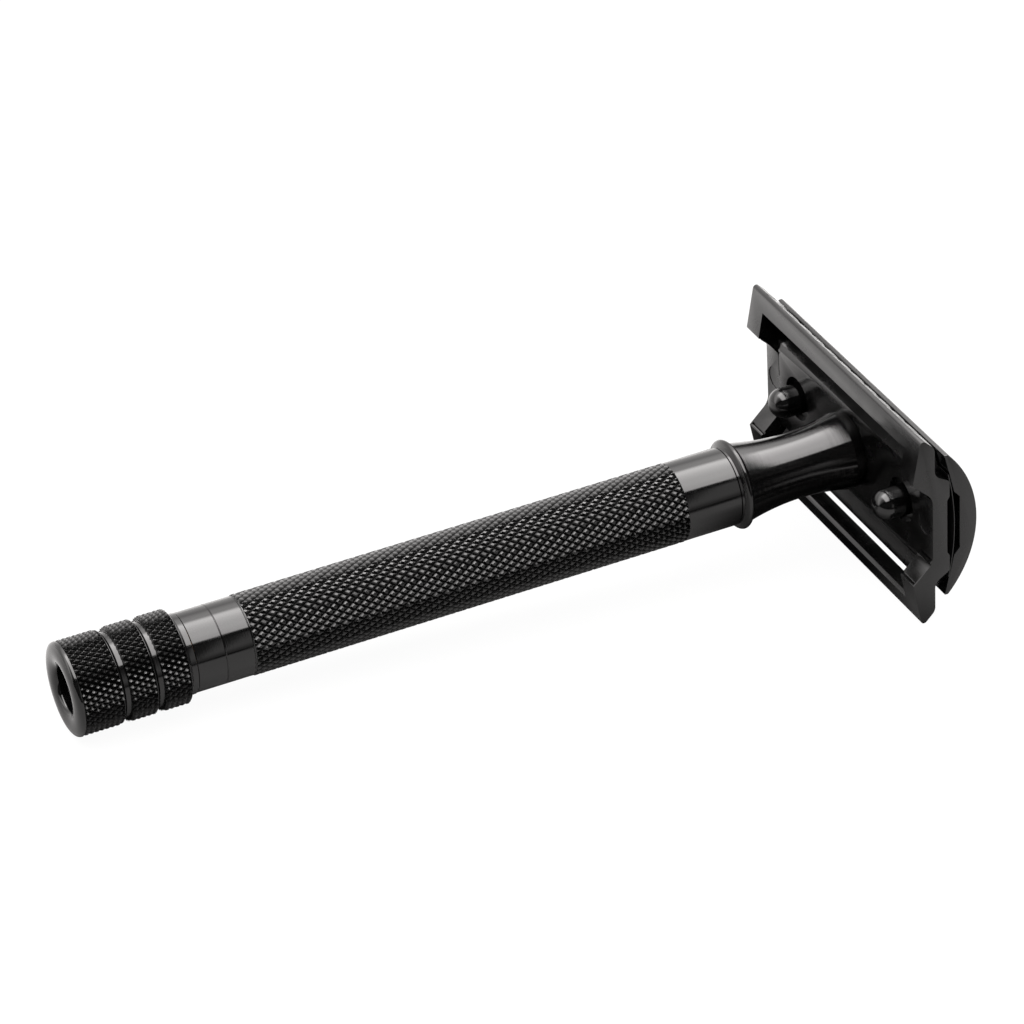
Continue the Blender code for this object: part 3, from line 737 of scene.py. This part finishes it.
def make_base_plate(material):
    """The ridged plate with its guard bars, slots and holes, the ribs on its edges and soft corners."""
    plate = prism("guard_plate", plate_outline(), PLATE_HALF_LENGTH)
    seat = PLATE_SEAT
    below, above = -5, 4
    inner = [(SLOT_INNER, 0), (SLOT_INNER, above)]
    half = [*inner, (SLOT_OUTER, above), *SLOT_CHAMFER, (SLOT_CHAMFER[1][0], below)]
    slots = [(u, seat + v) for u, v in half]
    slots += [(-u, z) for u, z in reversed(slots)]
    tools = [prism("slots_cutter", slots, SLOT_HALF_LENGTH)]
    (top_x, top_z), (tip_x, tip_z) = GUARD_TOP, GUARD_TIP
    slope = atan2(top_z - tip_z, tip_x - top_x)
    fade = atan2(SCALLOP_DEPTH, hypot(tip_x - top_x, top_z - tip_z))
    lift = SCALLOP_DEPTH / 2
    for name, side in (("left", -1), ("right", 1)):
        tilt = Matrix.Rotation(side * (slope - fade), 3, "Y")
        turn = tilt @ Matrix.Rotation(pi / 2, 3, "Z") @ Matrix.Rotation(pi / 2, 3, "X")
        middle_x = side * ((top_x + tip_x) / 2 + lift * sin(slope))
        middle = (middle_x, 0, seat + (top_z + tip_z) / 2 + lift * cos(slope))
        ribs = prism(f"ribs_{name}_cutter", scallop_outline(), SCALLOP_HALF_CUT, turn, middle)
        tools.append(ribs)
    for name, side in (("left", -1), ("right", 1)):
        for end, y in (("near", -1), ("far", 1)):
            middle = y * (SLOT_HALF_LENGTH + PLATE_HALF_LENGTH - WEB_RIM) / 2
            length = (PLATE_HALF_LENGTH - WEB_RIM - SLOT_HALF_LENGTH) / 2 + 0.01
            for place, groove in zip(("upper", "lower"), WEB_GROOVES):
                outline = [(side * u, seat + v) for u, v in groove]
                tools.append(prism(f"web_{name}_{end}_{place}", outline, length, None, (0, middle, 0)))
    tools.append(drill("neck_hole_cutter", PLATE_SPIGOT_RADIUS + FIT, seat - 1, seat + above))
    tools.append(drill("neck_recess_cutter", NECK_RECESS_RADIUS, seat - 1, seat + NECK_RECESS_DEPTH))
    for name, side in (("near", -1), ("far", 1)):
        y = side * PIN_REACH
        holes = (
            ("pin_hole", PIN_HOLE_RADIUS, above, y),
            ("pin_pocket", PIN_POCKET_RADIUS, PIN_POCKET_DEPTH, y),
            ("end_mark", END_MARK_RADIUS, END_MARK_DEPTH, side * END_MARK),
        )
        for kind, radius, depth, place in holes:
            tools.append(drill(f"{kind}_{name}", radius, seat - 1, seat + depth, place))
    cut(plate, *tools)
    plate.data.materials.clear()
    plate.data.materials.append(material)
    bevel(plate, PLATE_BEVEL)
    return finish_mesh(plate)


def cap_outline():
    """The crowned top as an arc, down to the rim, then back along the hollow underside."""
    centre = CAP_CREST - CAP_CROWN_RADIUS
    crown = []
    steps = 40
    for i in range(steps):
        across = CAP_HALF_WIDTH * i / steps
        crown.append((across, centre + sqrt(CAP_CROWN_RADIUS**2 - across**2)))
    corner = centre + sqrt(CAP_CROWN_RADIUS**2 - CAP_HALF_WIDTH**2)
    rest = [
        (*crown[-1], 0),
        (CAP_HALF_WIDTH, corner, 0.15),
        (CAP_HALF_WIDTH, CAP_RIM, 0.15),
        (CAP_RIM_INNER, CAP_RIM + CAP_RIM_RISE, 0.3),
        (*CAP_HOLLOW, 0.3),
        (CAP_RECESS_HALF_WIDTH, CAP_RECESS, 0.1),
        (0, CAP_RECESS, 0),
    ]
    half = crown[:-1] + rounded(rest)
    return both_sides([(u, PLATE_SEAT + v) for u, v in half])


def make_cap(material):
    cap = prism("cap_crown", cap_outline(), CAP_HALF_LENGTH)
    cap.data.materials.append(material)
    bevel(cap, CAP_BEVEL)
    return finish_mesh(cap)


def make_guide_pin(name, y, material):
    face = PLATE_SEAT + CAP_RECESS - FIT
    ball = PLATE_SEAT - PIN_BALL_DROP
    steps = 24
    dome = []
    for i in range(steps):
        angle = pi / 2 * i / steps
        dome.append((PIN_RADIUS * cos(angle), ball - PIN_RADIUS * sin(angle)))
    profile = [(0, face), (PIN_RADIUS, face)] + dome + [(0, ball - PIN_RADIUS)]
    return turned(name, profile, material, segments=96, centre=(0, y))


def make_threaded_stud(material):
    """The stud under the cap, with its thread cut as one helix over a plain neck and a lead-in."""
    face = PLATE_SEAT + CAP_RECESS - FIT
    segments, per_turn = 48, 8
    shape = bmesh.new()
    rows = int((face - STUD_BOTTOM) / STUD_PITCH * per_turn)
    rings = []
    for row in range(rows + 1):
        z = STUD_BOTTOM + (face - STUD_BOTTOM) * row / rows
        ring = []
        for i in range(segments):
            angle = 2 * pi * i / segments
            phase = (z / STUD_PITCH - angle / (2 * pi)) % 1
            depth = 1 - abs(2 * phase - 1)
            fade = min(1, (z - STUD_BOTTOM) / STUD_LEAD_IN, (face - z) / STUD_PLAIN_NECK)
            height = min(1, depth * STUD_CREST_FLAT) * max(0, fade)
            radius = STUD_ROOT + (STUD_TIP - STUD_ROOT) * height
            ring.append(shape.verts.new((radius * cos(angle), radius * sin(angle), z)))
        rings.append(ring)
    for first, second in zip(rings, rings[1:]):
        for i in range(segments):
            j = (i + 1) % segments
            shape.faces.new((first[i], first[j], second[j], second[i]))
    shape.faces.new(rings[0])
    shape.faces.new(rings[-1])
    mesh = closed_mesh("threaded_stud", shape)
    return finish_mesh(add_piece("threaded_stud", mesh, material), sharp=40)


# The scene


def show(piece, body, slot, *replaced):
    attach(piece, body)
    if replaced:
        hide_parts(*replaced)


def refinish(node, material):
    """A CAD node whose shape is right keeps its mesh and takes a better material."""
    obj = frame["nodes"][node]
    obj.data.materials.clear()
    obj.data.materials.append(material)


def make_razor():
    plating = black_plating("black_plating", 0.1, lathe=0.45)
    flat_plating = black_plating("black_plating_flat", 0.2, brushed=0.3)
    grip_plating = black_plating("black_plating_grip", 0.13, knurl=HANDLE_KNURL)
    knob_plating = black_plating("black_plating_knob", 0.13, knurl=KNOB_KNURL)
    steel = bare_metal("zinc_steel", (0.5, 0.5, 0.52), 0.28)
    # painted shade: the blade, a real piece, is drawn near black so that it reads as the shade in the
    # gap between guard and cap
    blade_painted_dark = black_plating("blade_dark_as_shade", 0.3, base=0.003)
    brass = bare_metal("brass", (0.62, 0.44, 0.18), 0.3)
    bronze = bare_metal("bronze", (0.42, 0.24, 0.12), 0.4)
    spring = bare_metal("spring_steel", (0.3, 0.3, 0.32), 0.35)

    show(make_handle_bands(plating), "handle", "handle_tube", "handle_tube")
    grip = (HANDLE_KNURL, HANDLE_DIAMOND, KNURL_CORE, grip_plating)
    show(knurled_sleeve("handle_knurl", KNURL_START, KNURL_END, *grip), "handle", "handle_tube")
    show(make_neck(plating), "handle", "neck", "neck")
    show(make_base_plate(flat_plating), "handle", "base_plate", "base_plate")

    show(make_knob_body(plating), "twist_knob", "knob", "knob")
    grip = (KNOB_KNURL, KNOB_DIAMOND, KNOB_CORE - KNOB_SLEEVE_SINK, knob_plating)
    for i, (bottom, top) in enumerate(KNOB_BANDS):
        show(knurled_sleeve(f"knob_knurl_{i + 1}", bottom, top, *grip), "twist_knob", "knob")

    show(make_cap(flat_plating), "cap_unit", "cap", "cap")
    for name, side in (("near", -1), ("far", 1)):
        pin = make_guide_pin(f"ball_pin_{name}", side * PIN_REACH, plating)
        show(pin, "cap_unit", "guide_pins", f"guide_pin_{name}")
    show(make_threaded_stud(steel), "cap_unit", "stud_steel", "cap_stud")

    refinish("blade", blade_painted_dark)
    refinish("knob_screw", steel)
    for node in ("draw_rod", "draw_nut"):
        refinish(node, brass)
    for node in ("lower_bush", "thrust_washer"):
        refinish(node, bronze)
    for node in ("wave_washer", "retaining_clip"):
        refinish(node, spring)


def make_floor():
    """The camera sees an even, nearly white glow, and reflections see a grey table.

    In reflections the table darkens in front of the razor, has painted light behind it and a painted
    shadow under the head.
    """
    shape = bmesh.new()
    bmesh.ops.create_grid(shape, x_segments=1, y_segments=1, size=FLOOR_SIZE / 2)
    mesh = into_mesh("studio_floor", shape)
    material, nodes, shader = new_material("floor", (FLOOR_GREY,) * 3, 0.0, FLOOR_ROUGHNESS)
    shader.inputs["Specular IOR Level"].default_value = 0.0
    shader.inputs["Emission Color"].default_value = (1, 1, 1, 1)
    seen = nodes.add("ShaderNodeLightPath").outputs["Is Camera Ray"]
    nodes.wire(nodes.math("MULTIPLY", seen, FLOOR_GLOW), shader.inputs["Emission Strength"])
    place = nodes.add("ShaderNodeTexCoord").outputs["Object"]
    split = nodes.add("ShaderNodeSeparateXYZ")
    nodes.wire(place, split.inputs[0])
    table = nodes.ramp(split.outputs["Y"], *FLOOR_FRONT_FADE, FLOOR_FRONT_GREY, FLOOR_GREY)
    # painted light: in reflections the floor is lighter behind the razor
    back = nodes.ramp(split.outputs["Y"], *PAINTED_LIGHT_BEHIND, 0.0, FLOOR_BACK_PAINTED_LIGHT)
    table = nodes.math("ADD", table, back)
    # painted shadow: in reflections the floor darkens under the head
    squeezed = nodes.add("ShaderNodeVectorMath", operation="MULTIPLY")
    nodes.wire(place, squeezed.inputs[0])
    squeezed.inputs[1].default_value = HEAD_SHADE_SQUEEZE
    distance = nodes.add("ShaderNodeVectorMath", operation="DISTANCE")
    nodes.wire(squeezed.outputs[0], distance.inputs[0])
    distance.inputs[1].default_value = HEAD_SHADE_CENTRE
    shade = nodes.ramp(distance.outputs["Value"], *HEAD_SHADE)
    table = nodes.math("MULTIPLY", table, shade)
    tone = nodes.add("ShaderNodeMix", data_type="FLOAT")
    nodes.wire(seen, tone.inputs["Factor"])
    nodes.wire(table, tone.inputs["A"])
    nodes.wire(FLOOR_SEEN, tone.inputs["B"])
    nodes.wire(tone.outputs["Result"], shader.inputs["Base Color"])
    floor = add_piece("studio_floor", mesh, material)


def light_studio():
    """A softbox overhead, a glow beyond it and dark places in a pale room.

    It is a world that depends on direction alone. The camera sees it as one even pale tone.
    """
    world = bpy.data.worlds.new("studio")
    bpy.context.scene.world = world
    world.use_nodes = True
    nodes = Nodes(world.node_tree)
    background = world.node_tree.nodes["Background"]
    direction = nodes.add("ShaderNodeSeparateXYZ")
    nodes.wire(nodes.add("ShaderNodeTexCoord").outputs["Generated"], direction.inputs[0])
    x, y, z = direction.outputs
    height = nodes.math("MAXIMUM", z, LOWEST)
    across = nodes.math("DIVIDE", x, height)
    away = nodes.math("DIVIDE", y, height)
    box = nodes.ramp(away, *SOFTBOX_NEAR)
    box = nodes.math("MULTIPLY", box, nodes.ramp(away, *SOFTBOX_FAR))
    box = nodes.math("MULTIPLY", box, nodes.ramp(across, *SOFTBOX_LEFT))
    box = nodes.math("MULTIPLY", box, nodes.ramp(across, *SOFTBOX_RIGHT))
    box = nodes.math("MULTIPLY", box, SOFTBOX)
    glow = nodes.ramp(away, *GLOW_FAR)
    glow = nodes.math("MULTIPLY", glow, nodes.ramp(away, *GLOW_NEAR))
    room = nodes.ramp(away, *DARK_BAND_NEAR)
    room = nodes.math("MAXIMUM", room, nodes.ramp(away, *DARK_BAND_FAR))
    patch = nodes.ramp(away, *DARK_PATCH_AWAY)
    patch = nodes.math("MULTIPLY", patch, nodes.ramp(across, *DARK_PATCH_ACROSS))
    patch = nodes.math("MULTIPLY", patch, DARK_PATCH)
    room = nodes.math("MULTIPLY", room, nodes.math("SUBTRACT", 1.0, patch))
    room = nodes.math("MULTIPLY", room, SURROUND)
    horizon = nodes.ramp(z, *HORIZON)
    horizon = nodes.math("MAXIMUM", horizon, nodes.ramp(y, *HORIZON_BACK))
    room = nodes.math("MULTIPLY", room, horizon)
    total = nodes.math("ADD", nodes.math("ADD", box, glow), room)
    seen = nodes.add("ShaderNodeLightPath").outputs["Is Camera Ray"]
    strength = nodes.add("ShaderNodeMix", data_type="FLOAT")
    nodes.wire(seen, strength.inputs["Factor"])
    nodes.wire(total, strength.inputs["A"])
    nodes.wire(1.0, strength.inputs["B"])
    nodes.wire(strength.outputs["Result"], background.inputs["Strength"])
    background.inputs["Color"].default_value = (*LIGHT_COLOUR, 1)


def place_camera():
    """A long lens, looking down on the near end of the blade, rolled a little."""
    aim = UPRIGHT @ Vector(CAMERA_AIM)
    azimuth, down, roll = radians(CAMERA_AZIMUTH), radians(CAMERA_DOWN), radians(CAMERA_ROLL)
    turn = Euler((pi / 2 - down, 0, -azimuth)).to_matrix() @ Matrix.Rotation(roll, 3, "Z")
    camera = bpy.data.objects.new("camera", bpy.data.cameras.new("camera"))
    camera.data.lens = CAMERA_LENS
    camera.data.sensor_width = CAMERA_SENSOR
    camera.data.clip_start = 0.01
    stand = aim + turn @ Vector((0, 0, CAMERA_DISTANCE))
    camera.matrix_world = Matrix.Translation(stand) @ turn.to_4x4()
    bpy.context.scene.collection.objects.link(camera)
    bpy.context.scene.camera = camera


bpy.context.scene.view_settings.view_transform = "Standard"
make_razor()
make_floor()
light_studio()
place_camera()
